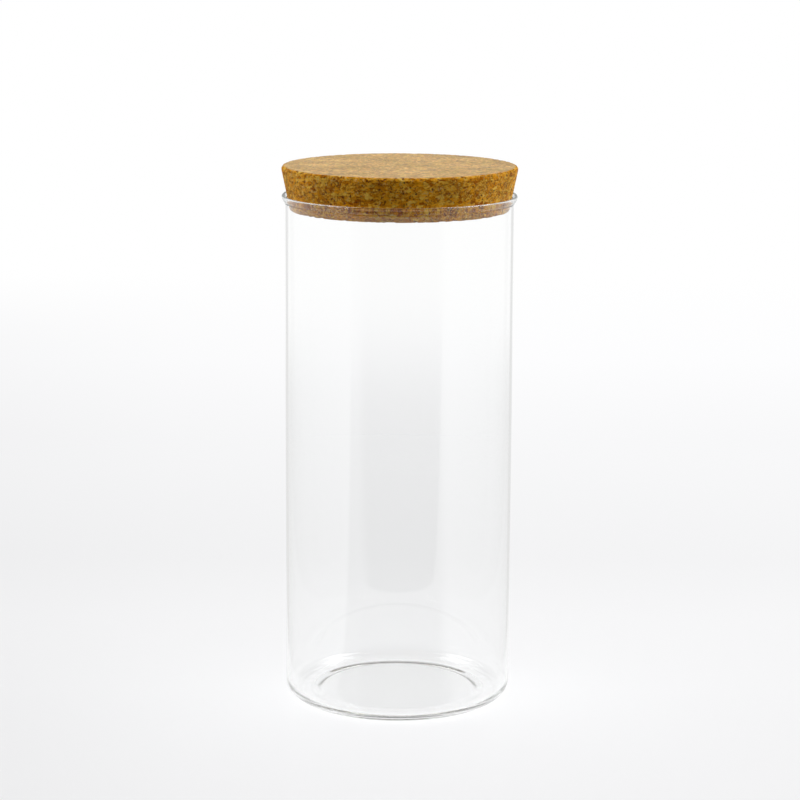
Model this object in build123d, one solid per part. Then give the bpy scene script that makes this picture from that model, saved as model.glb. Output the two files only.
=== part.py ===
from build123d import *
import os
from math import atan2, cos, radians, sin, tan

# A straight glass storage jar with a lip that steps outwards, closed by a tapered cork lid.
# Millimetres, +Z up. The origin is on the jar's axis, in the plane that it stands on.

# Glass jar: driving sizes
body_diameter = 100.0  # outside of the straight wall
jar_height = 225.0  # standing plane to the top of the lip
wall = 1.1  # the straight tube's glass
floor_glass = 2.5  # the floor's glass over the foot ring
foot_radius = 7.0  # outside round between the wall and the base
inner_foot_radius = 4.7  # inside round between the wall and the floor
foot_ring = 4.0  # width of the flat ring that the jar stands on
base_rise = 1.0  # how far the middle of the base is pushed up
rise_width = 6.0  # slope between the foot ring and the raised panel
lip_reach = 1.35  # how far the lip stands out past the wall
lip_glass = 1.5  # the lip's glass, a little gathered by fire polishing
lip_step = 3.8  # start of the step out to the top of the lip
lip_upright = 0.95  # the lip's upright part with its round edge
lip_turn_share = 0.4  # share of the step's bend that lies in its lower arc

# Cork lid: driving sizes
cork_thickness = 19.2
cork_taper = 11.8  # degrees between the side and the axis
cork_below_seat = 2.7  # seat line down to the lid's underside
cork_top_bevel = 1.6
cork_bottom_bevel = 0.8

# Clearance of the cork's side from the bore's top edge, which it is pushed against
seat_clearance = 0.15

# Jar: sizes that follow
body_radius = body_diameter / 2
bore_radius = body_radius - wall
step_start = jar_height - lip_step
step_end = jar_height - lip_upright
lip_radius = body_radius + lip_reach
lip_round = lip_glass / 2
lip_bore = lip_radius - lip_glass
ring_outer = body_radius - foot_radius
ring_inner = ring_outer - foot_ring
panel_radius = ring_inner - rise_width

# Lid: the cone's side passes one clearance away from the bore's top edge
taper = radians(cork_taper)
seat_r = bore_radius - seat_clearance / cos(taper)
seat_z = step_start
cork_bottom_z = seat_z - cork_below_seat
cork_top_z = cork_bottom_z + cork_thickness
cork_bottom_radius = seat_r - cork_below_seat * tan(taper)
cork_top_radius = cork_bottom_radius + cork_thickness * tan(taper)


def step_middle():
    """Where the step's lower arc, which turns out, meets its upper arc, which turns upright again."""
    rise = step_end - step_start
    lean = 2 * atan2(lip_reach, rise)
    lower_arc = lip_turn_share * (lip_reach**2 + rise**2) / (2 * lip_reach)
    return (body_radius + lower_arc * (1 - cos(lean)), step_start + lower_arc * sin(lean))


def make_glass_jar():
    """Tube, floor, foot and lip are one piece of glass, turned from one outline."""
    floor_edge = bore_radius - inner_foot_radius
    with BuildSketch(Plane.XZ) as outline:
        with BuildLine():
            # underside: raised panel, its slope, flat ring, round foot
            Polyline((0, base_rise), (panel_radius, base_rise), (ring_inner, 0), (ring_outer, 0))
            TangentArc((ring_outer, 0), (body_radius, foot_radius), tangent=(1, 0))
            # outside: straight wall, the step out, the upright lip and its round edge
            Line((body_radius, foot_radius), (body_radius, step_start))
            TangentArc((body_radius, step_start), step_middle(), tangent=(0, 1))
            TangentArc((lip_radius, step_end), step_middle(), tangent=(0, -1))
            Line((lip_radius, step_end), (lip_radius, jar_height - lip_round))
            TangentArc((lip_radius, jar_height - lip_round), (lip_radius - lip_round, jar_height), tangent=(0, 1))
            # inside: the mouth's eased edge, its cone, the bore, the round foot and the floor
            Polyline(
                (lip_radius - lip_round, jar_height),
                (lip_bore, jar_height - lip_round),
                (lip_bore, step_end),
                (bore_radius, step_start),
                (bore_radius, floor_glass + inner_foot_radius),
            )
            TangentArc((floor_edge, floor_glass), (bore_radius, floor_glass + inner_foot_radius), tangent=(1, 0))
            Polyline((floor_edge, floor_glass), (0, floor_glass), (0, base_rise))
        make_face()
    return revolve(outline.sketch, Axis.Z)


def make_cork_lid():
    """One pressed cork plug with a plain taper, wider at its top, and bevelled edges."""
    with BuildSketch(Plane.XZ) as outline:
        with BuildLine():
            Polyline(
                (0, cork_bottom_z),
                (cork_bottom_radius, cork_bottom_z),
                (cork_top_radius, cork_top_z),
                (0, cork_top_z),
                close=True,
            )
        make_face()
        # in the sketch's own frame Y runs up the lid's axis
        bottom_corner = outline.vertices().filter_by(lambda corner: corner.X > 0).sort_by(Axis.Y)[0]
        chamfer(bottom_corner, cork_bottom_bevel)
        top_corner = outline.vertices().sort_by(Axis.X)[-1]
        chamfer(top_corner, cork_top_bevel)
    return revolve(outline.sketch, Axis.Z)


os.makedirs("parts", exist_ok=True)
for name, piece in (("glass_jar", make_glass_jar()), ("cork_lid", make_cork_lid())):
    piece.label = name
    export_step(piece, f"parts/{name}.step")
    size = piece.bounding_box().size
    print(name, "valid" if piece.is_valid else "not valid", f"{piece.volume:.0f} mm3")
    print("  size", f"{size.X:.2f} x {size.Y:.2f} x {size.Z:.2f} mm")
print(f"cork z {cork_bottom_z:.2f} to {cork_top_z:.2f}, radius {cork_bottom_radius:.2f} to {cork_top_radius:.2f}")
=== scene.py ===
import math
import bmesh
import bpy
from mathutils import Matrix, Vector, noise


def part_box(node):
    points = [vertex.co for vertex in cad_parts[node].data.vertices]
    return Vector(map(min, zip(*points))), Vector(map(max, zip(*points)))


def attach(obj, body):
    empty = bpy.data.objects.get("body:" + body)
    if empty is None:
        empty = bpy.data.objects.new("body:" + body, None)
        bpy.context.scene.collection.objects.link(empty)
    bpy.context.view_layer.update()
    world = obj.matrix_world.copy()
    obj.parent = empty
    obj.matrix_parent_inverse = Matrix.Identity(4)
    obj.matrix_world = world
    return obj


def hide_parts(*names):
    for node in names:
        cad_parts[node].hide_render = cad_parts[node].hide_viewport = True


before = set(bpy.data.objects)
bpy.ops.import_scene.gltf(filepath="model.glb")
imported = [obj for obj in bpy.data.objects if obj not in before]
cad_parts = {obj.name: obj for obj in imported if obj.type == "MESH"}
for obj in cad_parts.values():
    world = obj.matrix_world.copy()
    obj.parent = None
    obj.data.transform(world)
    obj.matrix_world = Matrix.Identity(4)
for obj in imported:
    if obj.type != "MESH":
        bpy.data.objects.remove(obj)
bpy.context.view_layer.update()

mm = 0.001
lidLow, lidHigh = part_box("cork_lid")

# camera, solved from the circles of the jar in the picture
cameraFit = {
    "focalPixels": 2567.77,
    "pictureWidth": 800,
    "sensorWidth": 36.0,
    "pitchDown": math.radians(11.373),
    "roll": math.radians(0.268),
    "height": 0.35751,
    "distance": 1.1129,
    "axisPixel": 398.705,  # where the jar's middle stands across the picture
}


def makeCamera(fit):
    data = bpy.data.cameras.new("camera")
    data.sensor_width = fit["sensorWidth"]
    data.lens = fit["focalPixels"] * data.sensor_width / fit["pictureWidth"]
    data.shift_x = (fit["pictureWidth"] / 2 - fit["axisPixel"]) / fit["pictureWidth"]
    data.clip_start, data.clip_end = 0.01, 100.0
    camera = bpy.data.objects.new("camera", data)
    tilt = Matrix.Rotation(math.radians(90) - fit["pitchDown"], 4, "X")
    turn = tilt @ Matrix.Rotation(fit["roll"], 4, "Z")
    camera.matrix_world = Matrix.Translation((0, -fit["distance"], fit["height"])) @ turn
    bpy.context.collection.objects.link(camera)
    bpy.context.scene.camera = camera


makeCamera(cameraFit)
print("camera set")


# shader nodes
def newTree(name, make=bpy.data.materials.new):
    owner = make(name)
    owner.use_nodes = True
    owner.node_tree.nodes.clear()
    return owner, owner.node_tree


def addNode(tree, kind, **settings):
    node = tree.nodes.new(kind)
    for key, value in settings.items():
        setattr(node, key, value)
    return node


# sets or links inputs: by name, with _ for a space, or i and a number by place
def feed(tree, node, **inputs):
    for key, value in inputs.items():
        byPlace = key[0] == "i" and key[1:].isdigit()
        socket = node.inputs[int(key[1:]) if byPlace else key.replace("_", " ")]
        if isinstance(value, bpy.types.NodeSocket):
            tree.links.new(value, socket)
        else:
            socket.default_value = value
    return node


def calc(tree, operation, first, second=0.0):
    return feed(tree, addNode(tree, "ShaderNodeMath", operation=operation), i0=first, i1=second).outputs[0]


def vectorCalc(tree, operation, first, **others):
    node = addNode(tree, "ShaderNodeVectorMath", operation=operation)
    return feed(tree, node, i0=first, **others).outputs[0]


def parts(tree, vector):
    return feed(tree, addNode(tree, "ShaderNodeSeparateXYZ"), Vector=vector).outputs


# carries a value from one range to another and holds it at the ends
def mapped(tree, value, start, end, low=0.0, high=1.0, kind="SMOOTHSTEP"):
    node = feed(tree, addNode(tree, "ShaderNodeMapRange", interpolation_type=kind), Value=value)
    return feed(tree, node, From_Min=start, From_Max=end, To_Min=low, To_Max=high).outputs[0]


def toneRamp(tree, value, stops):
    low, high = stops[0][0], stops[-1][0]
    ramp = feed(tree, addNode(tree, "ShaderNodeValToRGB"), Fac=mapped(tree, value, low, high, kind="LINEAR"))
    points = ramp.color_ramp.elements
    while len(points) < len(stops):
        points.new(0.5)
    for point, (at, color) in zip(points, stops):
        point.position, point.color = (at - low) / (high - low), color
    return ramp.outputs[0]


def mixColor(tree, factor, first, second, blend="MIX"):
    node = addNode(tree, "ShaderNodeMix", data_type="RGBA", blend_type=blend)
    return feed(tree, node, i0=factor, i6=first, i7=second).outputs[2]


def mixValue(tree, factor, first, second):
    node = addNode(tree, "ShaderNodeMix", data_type="FLOAT")
    return feed(tree, node, i0=factor, i2=first, i3=second).outputs[0]


def newGroup(name, inputs, outputs):
    tree = bpy.data.node_groups.new(name, "ShaderNodeTree")
    for socket, kind in inputs:
        tree.interface.new_socket(socket, in_out="INPUT", socket_type=kind)
    for socket in outputs:
        tree.interface.new_socket(socket, in_out="OUTPUT", socket_type="NodeSocketFloat")
    return tree, addNode(tree, "NodeGroupInput").outputs, addNode(tree, "NodeGroupOutput")


# floor, backdrop and light, in metres and degrees round from the camera's side
studio = {
    "floorHalf": 14.0,
    "gloss": 0.05,
    # fall of light over the floor: greys along Y, and shares of them by X over the camera's distance
    "tones": ((-0.2, 245), (0.0, 251), (0.12, 250), (0.23, 247), (0.53, 248), (0.82, 253), (1.25, 255)),
    "sideTones": ((-0.16, 0.95), (-0.09, 0.98), (0.0, 1.0), (0.16, 1.0)),
    "nearest": 0.9,  # least distance that X is divided by
    "evenFrom": (0.8, 1.3),  # along Y, the sides come up to the middle's tone
    "whiteFrom": (1.4, 3.0),  # and far away the floor is plain white
    "litShare": 0.16,  # share of the floor's own shading, which takes the shadow
    "litReach": (0.2, 0.55),
    # what the glass reflects: a white sheet behind the jar, and a darker room round it
    "sheetFront": (-0.065, -0.055),
    "sheetSpread": (0.066, 0.074),  # half its width over the distance from the camera
    "floorReach": (0.6, 1.1),
    "frontFloor": (0.15, 0.85),  # the floor on the camera's side, near and far
    "sideFloor": (0.8, 1.0),
    "darkFrom": (1.66, 1.74),  # past this the floor is dark, but not behind the jar
    "darkRound": (138, 146),
    "darkest": 0.05,
    "front": 0.5,  # the room on the camera's side
    "walls": 1.0,  # diffusers to the left and right
    "rightEdge": (34, 50),
    "leftEdge": (46, 50),
    "gap": 0.78,  # between the diffusers and the backdrop
    "gapStart": (147, 151),
    "gapEnd": (162, 165),
    "backdrop": 0.6,
    "backdropEdge": (160, 166),
    "overhead": 0.06,
    "overheadFrom": (0.34, 0.44),  # upward part of the direction
    "softboxes": (("leftSoftbox", (-0.75, 0.1, 1.0), 5.6), ("rightSoftbox", (0.75, 0.1, 1.0), 6.8)),
    "softboxSize": 0.6,
    "softboxTarget": (0, 0, 0.2),
    "bounces": 200,  # light runs a long way inside the thin wall
}


# a grey as a painter writes it, 0 to 255
def grey(tone, blueGain=1):
    shares = [c / 255 for c in (tone, tone, min(255, tone + blueGain))]
    return tuple(c / 12.92 if c <= 0.04045 else ((c + 0.055) / 1.055) ** 2.4 for c in shares) + (1.0,)


# 0 on the camera's side, growing to the right and negative to the left
def angleRound(tree, x, y):
    return calc(tree, "ARCTAN2", x, calc(tree, "MULTIPLY", y, -1.0))


def byAngle(tree, angle, edge, low=0.0, high=1.0):
    return mapped(tree, angle, *map(math.radians, edge), low, high)


# brightness of the room round the jar, by direction from its axis
def makeSurroundings(s):
    sockets = (("Direction", "NodeSocketVector"), ("Front", "NodeSocketFloat"), ("Walls", "NodeSocketFloat"))
    tree, given, end = newGroup("surroundings", sockets, ("Brightness",))
    direction = parts(tree, given["Direction"])
    around = angleRound(tree, direction["X"], direction["Y"])
    right = byAngle(tree, around, s["rightEdge"])
    left = byAngle(tree, calc(tree, "MULTIPLY", around, -1.0), s["leftEdge"])
    level = mixValue(tree, calc(tree, "MAXIMUM", right, left), given["Front"], given["Walls"])
    apart = calc(tree, "ABSOLUTE", around)
    gapEnd = byAngle(tree, apart, s["gapEnd"], 1.0, 0.0)
    gap = calc(tree, "MULTIPLY", byAngle(tree, apart, s["gapStart"]), gapEnd)
    feed(tree, end, Brightness=mixValue(tree, gap, level, s["gap"]))
    return tree


def roomLevel(tree, room, direction, front, walls):
    node = addNode(tree, "ShaderNodeGroup", node_tree=room)
    return feed(tree, node, Direction=direction, Front=front, Walls=walls).outputs[0]


# 1 for what the camera sees itself or straight through the glass, 0 for what the glass reflects
def clearView(tree, paths):
    straight = calc(tree, "LESS_THAN", paths["Glossy Depth"], 0.5)
    through = calc(tree, "MULTIPLY", paths["Is Transmission Ray"], straight)
    return calc(tree, "MAXIMUM", paths["Is Camera Ray"], through)


# the pale floor with its painted fall of light, before anything is reflected in it
def floorTone(tree, s, alongY, slant, flat):
    along = toneRamp(tree, alongY, [(y, grey(tone)) for y, tone in s["tones"]])
    across = toneRamp(tree, slant, [(x, (tone, tone, tone, 1.0)) for x, tone in s["sideTones"]])
    across = mixColor(tree, mapped(tree, alongY, *s["evenFrom"]), across, (1, 1, 1, 1))
    both = mixColor(tree, 1.0, along, across, "MULTIPLY")
    return mixColor(tree, mapped(tree, flat, *s["whiteFrom"]), both, (1, 1, 1, 1))


# the floor beyond the sheet; only light that the glass turned back more than once finds the dark far floor
def floorBeyond(tree, s, room, place, paths, acrossX, alongY, flat):
    front = mapped(tree, flat, *s["floorReach"], *s["frontFloor"])
    walls = mapped(tree, flat, *s["floorReach"], *s["sideFloor"])
    beyond = roomLevel(tree, room, place, front, walls)
    behind = byAngle(tree, calc(tree, "ABSOLUTE", angleRound(tree, acrossX, alongY)), s["darkRound"])
    fall = calc(tree, "MAXIMUM", behind, mapped(tree, flat, *s["darkFrom"], 1.0, s["darkest"]))
    fall = calc(tree, "MAXIMUM", fall, calc(tree, "LESS_THAN", paths["Glossy Depth"], 1.5))
    return calc(tree, "MULTIPLY", beyond, fall)


def floorMaterial(s, room):
    material, tree = newTree("paleFloor")
    place = addNode(tree, "ShaderNodeTexCoord").outputs["Object"]
    paths = addNode(tree, "ShaderNodeLightPath").outputs
    across = parts(tree, place)
    acrossX, alongY = across["X"], across["Y"]
    flat = feed(tree, addNode(tree, "ShaderNodeVectorMath", operation="LENGTH"), i0=place).outputs["Value"]
    away = calc(tree, "MAXIMUM", calc(tree, "ADD", alongY, cameraFit["distance"]), s["nearest"])
    slant = calc(tree, "DIVIDE", acrossX, away)
    inside = mapped(tree, calc(tree, "ABSOLUTE", slant), *s["sheetSpread"], 1.0, 0.0)
    sheet = calc(tree, "MULTIPLY", inside, mapped(tree, alongY, *s["sheetFront"]))
    sheet = calc(tree, "MAXIMUM", sheet, clearView(tree, paths))
    beyond = floorBeyond(tree, s, room, place, paths, acrossX, alongY, flat)
    tone = mixColor(tree, sheet, beyond, floorTone(tree, s, alongY, slant, flat))
    lit = addNode(tree, "ShaderNodeBsdfPrincipled")
    feed(tree, lit, Base_Color=tone, Roughness=s["gloss"], IOR=1.5)
    glow = feed(tree, addNode(tree, "ShaderNodeEmission"), Color=tone, Strength=1.0)
    seen = calc(tree, "MAXIMUM", paths["Is Camera Ray"], paths["Is Glossy Ray"])
    seen = calc(tree, "MAXIMUM", seen, paths["Is Transmission Ray"])
    # the part that takes light and shadow lies round the jar only
    share = calc(tree, "MULTIPLY", seen, mapped(tree, flat, *s["litReach"], 1 - s["litShare"], 1.0))
    mix = feed(tree, addNode(tree, "ShaderNodeMixShader"), i0=share, i1=lit.outputs[0], i2=glow.outputs[0])
    feed(tree, addNode(tree, "ShaderNodeOutputMaterial"), Surface=mix.outputs[0])
    return material


def makeFloor(s, room):
    bm = bmesh.new()
    bmesh.ops.create_grid(bm, x_segments=1, y_segments=1, size=s["floorHalf"])
    mesh = bpy.data.meshes.new("floor")
    bm.to_mesh(mesh)
    bm.free()
    mesh.materials.append(floorMaterial(s, room))
    floor = bpy.data.objects.new("floor", mesh)
    bpy.context.collection.objects.link(floor)


# above the floor: diffusers left and right, a dim ceiling, a darker side towards the camera
def makeWorld(s, room):
    world, tree = newTree("studioWorld", bpy.data.worlds.new)
    direction = addNode(tree, "ShaderNodeTexCoord").outputs["Generated"]
    paths = addNode(tree, "ShaderNodeLightPath").outputs
    apart = parts(tree, direction)
    around = calc(tree, "ABSOLUTE", angleRound(tree, apart["X"], apart["Y"]))
    back = byAngle(tree, around, s["backdropEdge"], 1.0, s["backdrop"])
    level = calc(tree, "MULTIPLY", roomLevel(tree, room, direction, s["front"], s["walls"]), back)
    level = mixValue(tree, mapped(tree, apart["Z"], *s["overheadFrom"]), level, s["overhead"])
    level = calc(tree, "MAXIMUM", level, clearView(tree, paths))
    glow = feed(tree, addNode(tree, "ShaderNodeBackground"), Color=(1, 1, 1, 1), Strength=level)
    feed(tree, addNode(tree, "ShaderNodeOutputWorld"), Surface=glow.outputs[0])
    bpy.context.scene.world = world


# a soft lamp; glow is its brightness, where white is 1
def makeSoftbox(name, place, target, size, glow):
    data = bpy.data.lights.new(name, "AREA")
    data.shape = "RECTANGLE"
    data.size, data.size_y, data.energy = size, size, glow * math.pi * size * size
    lamp = bpy.data.objects.new(name, data)
    lamp.location = place
    lamp.rotation_euler = (Vector(target) - Vector(place)).to_track_quat("-Z", "Y").to_euler()
    bpy.context.collection.objects.link(lamp)


room = makeSurroundings(studio)
makeFloor(studio, room)
makeWorld(studio, room)
for name, place, glow in studio["softboxes"]:
    makeSoftbox(name, place, studio["softboxTarget"], studio["softboxSize"], glow)
cycles = bpy.context.scene.cycles
cycles.max_bounces = cycles.glossy_bounces = cycles.transmission_bounces = studio["bounces"]
print("floor, world and softboxes set")


# glass jar
glassJar = {
    "radius": 50.0 * mm,
    "height": 225.0 * mm,
    "wall": 1.1 * mm,
    "floorGlass": 2.5 * mm,
    "footRound": 7.0 * mm,
    "innerFootRound": 4.7 * mm,
    "footRing": 4.0 * mm,
    "baseRise": 1.0 * mm,
    "riseWidth": 6.0 * mm,
    "riseSteps": 12,
    "lipReach": 1.35 * mm,  # how far the lip stands out past the wall
    "lipStart": 221.2 * mm,  # where the wall turns out
    "lipUpright": 224.05 * mm,  # where it stands upright again
    "lipGlass": 1.5 * mm,
    "lipTurn": 0.4,  # share of the step's bend that lies in its lower arc
    "arcStep": math.radians(5),
    "guard": 0.5 * mm,  # keeps the shading of a flat stretch apart from its round neighbour
    "steps": 320,
    "tint": (0.998, 1.0, 0.999, 1),
    "ior": 1.474,
    "shadowTint": (0.98, 0.985, 0.985, 1),
    "depthTint": (0.78, 0.8, 0.775, 1),  # what a long way through the glass takes out
    "depthDensity": 10.0,
}


# points of an arc in the section plane, from one angle to another
def arc(centre, radius, start, end, step):
    count = max(2, math.ceil(abs(end - start) / step))
    angles = [start + (end - start) * i / count for i in range(count + 1)]
    return [(centre[0] + radius * math.cos(a), centre[1] + radius * math.sin(a)) for a in angles]


# points of an S from one upright line to another, given by its two ends
def risingStep(low, high, share, turn):
    across, rise = high[0] - low[0], high[1] - low[1]
    bend = (across ** 2 + rise ** 2) / (2 * across)
    lean = 2 * math.atan2(across, rise)
    lower, upper = bend * share, bend * (1 - share)
    points = arc((low[0] + lower, low[1]), lower, math.pi, math.pi - lean, turn)
    return points + arc((high[0] - upper, high[1]), upper, -lean, 0, turn)[1:]


# outline of the glass, from the middle of the underside round to the middle of the floor
def jarSection(j):
    turn, guard, quarter = j["arcStep"], j["guard"], math.pi / 2
    radius, bore = j["radius"], j["radius"] - j["wall"]
    ringOuter = radius - j["footRound"]
    ringInner = ringOuter - j["footRing"]
    panel = ringInner - j["riseWidth"]
    rise, floorGlass, innerFoot = j["baseRise"], j["floorGlass"], j["innerFootRound"]
    lipRadius, lipRound = radius + j["lipReach"], j["lipGlass"] / 2
    lipStart, upright = j["lipStart"], j["lipUpright"]
    # underside: raised panel, soft step down, flat ring and round foot
    points = [(0, rise), (panel - guard, rise)]
    for t in (i / j["riseSteps"] for i in range(j["riseSteps"] + 1)):
        points.append((panel + j["riseWidth"] * t, rise * (1 - t * t * (3 - 2 * t))))
    points += [(ringInner + guard, 0), (ringOuter - guard, 0)]
    points += arc((ringOuter, j["footRound"]), j["footRound"], -quarter, 0, turn)
    # outside: wall, step out and round top
    points += [(radius, j["footRound"] + guard), (radius, lipStart - guard)]
    points += risingStep((radius, lipStart), (lipRadius, upright), j["lipTurn"], turn)
    points += arc((lipRadius - lipRound, j["height"] - lipRound), lipRound, 0, math.pi, turn * 2)
    # inside: back down the step, bore, round foot and floor
    points += risingStep((bore, lipStart), (lipRadius - j["lipGlass"], upright), j["lipTurn"], turn)[::-1]
    points += [(bore, lipStart - guard), (bore, floorGlass + innerFoot + guard)]
    points += arc((bore - innerFoot, floorGlass + innerFoot), innerFoot, 0, -quarter, turn)
    points += [(bore - innerFoot - guard, floorGlass), (0, floorGlass)]
    return points


# turns an outline that starts and ends on the axis into one closed, smooth shell
def spinSection(name, points, steps):
    bm = bmesh.new()
    verts = [bm.verts.new((x, 0, z)) for x, z in points]
    edges = [bm.edges.new(pair) for pair in zip(verts, verts[1:])]
    bmesh.ops.spin(
        bm, geom=verts + edges, cent=(0, 0, 0), axis=(0, 0, 1), angle=math.tau, steps=steps, use_merge=True
    )
    bmesh.ops.remove_doubles(bm, verts=bm.verts, dist=1e-7)
    bmesh.ops.recalc_face_normals(bm, faces=bm.faces)
    for face in bm.faces:
        face.smooth = True
    mesh = bpy.data.meshes.new(name)
    bm.to_mesh(mesh)
    bm.free()
    piece = bpy.data.objects.new(name, mesh)
    bpy.context.collection.objects.link(piece)
    return piece


def glassMaterial(j):
    material, tree = newTree("clearGlass")
    glass = addNode(tree, "ShaderNodeBsdfPrincipled")
    feed(tree, glass, Base_Color=j["tint"], Roughness=0.0, IOR=j["ior"], Transmission_Weight=1.0)
    # the lamps' light passes straight, so that the shadow stays faint
    clear = feed(tree, addNode(tree, "ShaderNodeBsdfTransparent"), Color=j["shadowTint"])
    shadow = addNode(tree, "ShaderNodeLightPath").outputs["Is Shadow Ray"]
    mix = addNode(tree, "ShaderNodeMixShader")
    feed(tree, mix, i0=shadow, i1=glass.outputs[0], i2=clear.outputs[0])
    dimming = addNode(tree, "ShaderNodeVolumeAbsorption")
    feed(tree, dimming, Color=j["depthTint"], Density=j["depthDensity"])
    feed(tree, addNode(tree, "ShaderNodeOutputMaterial"), Surface=mix.outputs[0], Volume=dimming.outputs[0])
    return material


jar = spinSection("glassJar", jarSection(glassJar), glassJar["steps"])
jar.data.materials.append(glassMaterial(glassJar))
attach(jar, "jar")
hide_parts("glass_jar")
print("glass jar made,", len(jar.data.polygons), "faces")


# cork lid: its shape
corkLid = {
    "taper": math.radians(11.8),
    "inset": 0.4 * mm,  # the worn edge stands a little inside the bevel
    "topRound": 1.5 * mm,
    "topArcStep": math.radians(17),
    "bottomRound": 1.3 * mm,
    "bottomArcStep": math.radians(20),
    "sideRows": 38,
    "topRings": 34,
    "topCrowding": 1.6,  # rings draw closer towards the edge
    "bottomRings": 22,
    "bottomCrowding": 0.7,
    "steps": 600,
    "chip": 0.75 * mm,  # deepest bite out of an edge
    "chipReach": 1.3 * mm,
    "crumb": 2.4 * mm,  # usual width of the bites
    "smallCrumb": 0.4,  # width of the smaller bites, as a share of that
    "biteGain": 1.6,
    "relief": 0.12 * mm,  # unevenness of the side
    "topRelief": 0.04 * mm,
    "grain": ((1.7 * mm, 0.35), (0.7 * mm, 0.25)),  # its widths and their shares
}


# outline of the plug, from the middle of its top round to the middle of its underside
def lidSection(c, radius, low, high):
    lean = c["taper"]
    topR, topZ = radius - c["topRound"], high - c["topRound"]
    across = math.cos(lean) * topR - math.sin(lean) * topZ + c["topRound"] - c["bottomRound"]
    bottomZ = low + c["bottomRound"]
    bottomR = (across + math.sin(lean) * bottomZ) / math.cos(lean)
    points = [(topR * (1 - (1 - i / c["topRings"]) ** c["topCrowding"]), high) for i in range(c["topRings"])]
    points += arc((topR, topZ), c["topRound"], math.pi / 2, -lean, c["topArcStep"])
    under = arc((bottomR, bottomZ), c["bottomRound"], -lean, -math.pi / 2, c["bottomArcStep"])
    start, end = points[-1], under[0]
    for t in (i / c["sideRows"] for i in range(1, c["sideRows"])):
        points.append((start[0] + (end[0] - start[0]) * t, start[1] + (end[1] - start[1]) * t))
    points += under
    for t in (i / c["bottomRings"] for i in range(1, c["bottomRings"] + 1)):
        points.append((bottomR * (1 - t) ** c["bottomCrowding"], low))
    return points


def clamped(value):
    return min(1.0, max(0.0, value))


# presses an uneven grain into the plug and breaks crumbs out of its edges, always inwards
def roughenCork(piece, c, radius, low, high):
    mesh = piece.data
    bottomRadius = radius - (high - low) * math.tan(c["taper"])
    smaller = c["smallCrumb"] * c["crumb"]
    moved = []
    for vertex in mesh.vertices:
        p, n = vertex.co, vertex.normal
        r = math.hypot(p.x, p.y)
        fromEdge = min(math.hypot(r - radius, p.z - high), math.hypot(r - bottomRadius, p.z - low))
        edge = math.exp(-(fromEdge / c["chipReach"]) ** 2)
        bite = noise.noise(p / c["crumb"]) + 0.5 * noise.noise(p / smaller + Vector((7, 3, 1)))
        flat = clamped(abs(n.z) * 1.5 - 0.5)
        deep = c["relief"] * (1 - flat) + c["topRelief"] * flat
        grain = 0.5 + sum(share * noise.noise(p / width) for width, share in c["grain"])
        moved.append(p - n * (c["chip"] * edge * clamped(bite * c["biteGain"]) + deep * clamped(grain)))
    for vertex, place in zip(mesh.vertices, moved):
        vertex.co = place
    mesh.update()


# cork lid: its look; sizes of noise and chips are counts per metre
corkLook = {
    "topFrom": (0.93, 0.995),  # upward part of the normal, where the sanded top starts
    "chipSquash": (1.0, 1.0, 1.9),  # chips lie flat in the pressed block
    "tearSize": 700.0,
    "tearReach": 3.2 * mm,
    "bigChips": (440.0, 0.15),  # size, and width of the glue line as a share of a chip
    "smallChips": (1000.0, 0.22),
    "mixSize": 240.0,  # patches of the smaller chips
    "mixFrom": (0.47, 0.56),
    "grainSize": 1900.0,
    "grainGain": 1.9,
    "chipTones": ((0.0, (0.36, 0.09, 0.0006)), (0.3, (0.74, 0.27, 0.002)),
                  (0.62, (0.95, 0.41, 0.008)), (1.0, (1.0, 0.64, 0.1))),
    "glueColor": (0.3, 0.09, 0.002, 1),
    "gluePatches": (420.0, 0.4, 0.62),  # size, and where the lines fade in
    "glueShare": 0.75,
    "rimColor": (1.0, 0.7, 0.24, 1),
    "rimPatches": (520.0, 0.54, 0.66),
    "rimSeed": 3.0,
    "rimShare": 0.75,
    "driftSize": 60.0,  # broad drift of tone through the block
    "driftTones": (0.82, 1.15),
    "paintedShadeTo": (223.4 * mm, 224.6 * mm),  # below this the side, inside the jar's mouth, is darker: painted shade under the glass lip
    "paintedShadeTone": 0.66,
    "flakeSize": 560.0,  # the sanded top is paler, from its dust and from painted light, and more even
    "flakeTones": (0.62, 1.38),
    # dust of the sanding and painted light, both making the top paler than the side
    "dustAndLightColor": (0.5, 0.5, 0.37, 1),
    "dustAndLightShare": 0.45,
    "pitColor": (0.17, 0.04, 0.001, 1),
    "pitShare": 0.92,
    "topPitLoss": 0.75,
    "pits": ((400.0, 0.66, 0.16, 0.1), (760.0, 0.76, 0.22, 0.15)),  # size, rarity, radius, soft edge
    "pitWander": (1500.0, 1.5 * mm),
    "roughness": (0.78, 0.92),
    "topRoughnessLoss": 0.06,
    "pitDepth": 1.6,
    "grainHeight": 0.9,
    "reliefDepth": 0.35 * mm,
    "reliefStrength": (0.75, 0.25),  # on the side and on the top
}


# pressed chips of one size: a shade for each chip, its edges and its height
def makeGranules():
    number = "NodeSocketFloat"
    sockets = (("Vector", "NodeSocketVector"), ("Scale", number), ("Edge Width", number))
    tree, given, end = newGroup("granules", sockets, ("Shade", "Edge", "Height"))
    vector, scale = given["Vector"], given["Scale"]
    cells = feed(tree, addNode(tree, "ShaderNodeTexVoronoi"), Vector=vector, Scale=scale)
    apart = feed(tree, addNode(tree, "ShaderNodeSeparateColor"), i0=cells.outputs["Color"]).outputs
    lines = addNode(tree, "ShaderNodeTexVoronoi", feature="DISTANCE_TO_EDGE")
    feed(tree, lines, Vector=vector, Scale=scale)
    edge = mapped(tree, lines.outputs[0], 0.0, given["Edge Width"], 1.0, 0.0)
    height = calc(tree, "SUBTRACT", calc(tree, "MULTIPLY", apart[1], 0.5), calc(tree, "MULTIPLY", edge, 0.7))
    feed(tree, end, Shade=apart[0], Edge=edge, Height=height)
    return tree


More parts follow.
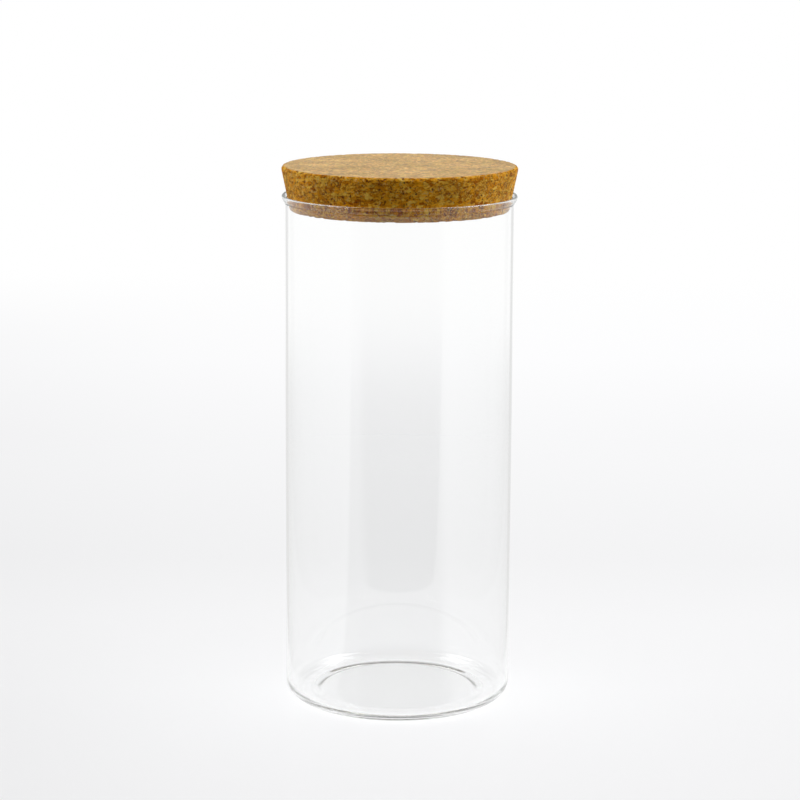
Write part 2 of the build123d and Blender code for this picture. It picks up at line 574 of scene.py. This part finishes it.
def noiseNode(tree, vector, size, detail, roughness=0.5):
    node = addNode(tree, "ShaderNodeTexNoise")
    return feed(tree, node, Vector=vector, Scale=size, Detail=detail, Roughness=roughness)


# dark pits of one size, strewn over some of the cells
def pitMask(tree, vector, size, rarity, radius, soft):
    cells = feed(tree, addNode(tree, "ShaderNodeTexVoronoi"), Vector=vector, Scale=size)
    shade = feed(tree, addNode(tree, "ShaderNodeSeparateColor"), i0=cells.outputs["Color"]).outputs[0]
    chosen = mapped(tree, shade, rarity, rarity + 0.02)
    inside = mapped(tree, cells.outputs["Distance"], radius, radius + soft, 1.0, 0.0)
    return calc(tree, "MULTIPLY", chosen, inside)


# shades, edges and heights of the chips, both sizes in patches, with torn outlines
def corkChips(tree, look, point, torn):
    group = makeGranules()

    def chips(size, width):
        node = addNode(tree, "ShaderNodeGroup", node_tree=group)
        return feed(tree, node, Vector=torn, Scale=size, Edge_Width=width).outputs

    big, small = chips(*look["bigChips"]), chips(*look["smallChips"])
    fine = mapped(tree, noiseNode(tree, point, look["mixSize"], 2.0).outputs[0], *look["mixFrom"])
    shade, edge, height = [mixValue(tree, fine, big[i], small[i]) for i in range(3)]
    return shade, edge, height, big["Edge"]


# colour of the cut side: chips, glue lines between them, pale rims
def sideColor(tree, look, point, shade, edge, bigEdge):
    side = toneRamp(tree, shade, [(at, color + (1.0,)) for at, color in look["chipTones"]])
    size, start, end = look["gluePatches"]
    patches = mapped(tree, noiseNode(tree, point, size, 2.0).outputs[0], start, end)
    lines = calc(tree, "MULTIPLY", edge, patches)
    side = mixColor(tree, calc(tree, "MULTIPLY", lines, look["glueShare"]), side, look["glueColor"])
    size, start, end = look["rimPatches"]
    rims = addNode(tree, "ShaderNodeTexNoise", noise_dimensions="4D")
    rims = feed(tree, rims, Vector=point, Scale=size, Detail=2.0, W=look["rimSeed"])
    rims = calc(tree, "MULTIPLY", bigEdge, mapped(tree, rims.outputs[0], start, end))
    return mixColor(tree, calc(tree, "MULTIPLY", rims, look["rimShare"]), side, look["rimColor"])


def corkMaterial(look):
    material, tree = newTree("pressedCork")
    place = addNode(tree, "ShaderNodeTexCoord").outputs
    point = place["Object"]
    top = mapped(tree, parts(tree, place["Normal"])["Z"], *look["topFrom"])
    tear = noiseNode(tree, point, look["tearSize"], 3.0, 0.6).outputs["Color"]
    tear = vectorCalc(tree, "SUBTRACT", tear, i1=(0.5, 0.5, 0.5))
    tear = vectorCalc(tree, "SCALE", tear, Scale=look["tearReach"])
    torn = vectorCalc(tree, "ADD", vectorCalc(tree, "MULTIPLY", point, i1=look["chipSquash"]), i1=tear)
    shade, edge, height, bigEdge = corkChips(tree, look, point, torn)
    grain = noiseNode(tree, torn, look["grainSize"], 5.0, 0.65).outputs[0]
    uneven = calc(tree, "MULTIPLY", calc(tree, "SUBTRACT", grain, 0.5), look["grainGain"])
    side = sideColor(tree, look, point, calc(tree, "ADD", shade, uneven), edge, bigEdge)
    # the sanded top, paler from its dust and from painted light on the upward face
    flakes = noiseNode(tree, torn, look["flakeSize"], 5.0, 0.75).outputs[0]
    flakes = mapped(tree, flakes, 0.35, 0.65, *look["flakeTones"], "LINEAR")
    dustAndLitTop = vectorCalc(tree, "SCALE", mixColor(tree, look["dustAndLightShare"], side, look["dustAndLightColor"]), Scale=flakes)
    # broad tones, and painted shade on the side inside the jar's mouth
    drift = noiseNode(tree, point, look["driftSize"], 3.0).outputs[0]
    gain = mapped(tree, drift, 0.3, 0.7, *look["driftTones"], "LINEAR")
    # painted shade: the side is darker below the rim, inside the jar's mouth
    paintedShade = mapped(tree, parts(tree, point)["Z"], *look["paintedShadeTo"], look["paintedShadeTone"], 1.0)
    gain = calc(tree, "MULTIPLY", gain, paintedShade)
    base = vectorCalc(tree, "SCALE", mixColor(tree, top, side, dustAndLitTop), Scale=gain)
    # pits and specks of bark, fewer on the top
    size, reach = look["pitWander"]
    wander = vectorCalc(tree, "SCALE", noiseNode(tree, point, size, 2.0).outputs["Color"], Scale=reach)
    bent = vectorCalc(tree, "ADD", point, i1=wander)
    pits = calc(tree, "MAXIMUM", *[pitMask(tree, bent, *kind) for kind in look["pits"]])
    onTop = calc(tree, "SUBTRACT", 1.0, calc(tree, "MULTIPLY", top, look["topPitLoss"]))
    pits = calc(tree, "MULTIPLY", pits, onTop)
    base = mixColor(tree, calc(tree, "MULTIPLY", pits, look["pitShare"]), base, look["pitColor"])
    # finish and fine relief
    rough = mapped(tree, grain, 0.3, 0.7, *look["roughness"])
    rough = calc(tree, "SUBTRACT", rough, calc(tree, "MULTIPLY", top, look["topRoughnessLoss"]))
    relief = calc(tree, "SUBTRACT", height, calc(tree, "MULTIPLY", pits, look["pitDepth"]))
    relief = calc(tree, "ADD", relief, calc(tree, "MULTIPLY", grain, look["grainHeight"]))
    onSide, onFlat = look["reliefStrength"]
    firm = calc(tree, "SUBTRACT", onSide, calc(tree, "MULTIPLY", top, onSide - onFlat))
    bump = addNode(tree, "ShaderNodeBump")
    feed(tree, bump, Height=relief, Strength=firm, Distance=look["reliefDepth"])
    cork = addNode(tree, "ShaderNodeBsdfPrincipled")
    feed(tree, cork, Base_Color=base, Roughness=rough, Normal=bump.outputs[0], Specular_IOR_Level=0.06)
    # dust of the cut side
    feed(tree, cork, Sheen_Weight=0.2, Sheen_Roughness=0.3, Sheen_Tint=(1.0, 0.95, 0.7, 1))
    feed(tree, addNode(tree, "ShaderNodeOutputMaterial"), Surface=cork.outputs[0])
    return material


lidRadius = lidHigh.x - corkLid["inset"]
lid = spinSection("corkLid", lidSection(corkLid, lidRadius, lidLow.z, lidHigh.z), corkLid["steps"])
roughenCork(lid, corkLid, lidRadius, lidLow.z, lidHigh.z)
lid.data.materials.append(corkMaterial(corkLook))
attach(lid, "lid")
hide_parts("cork_lid")
print("cork lid made,", len(lid.data.polygons), "faces")

bpy.context.scene.view_settings.view_transform = "Standard"
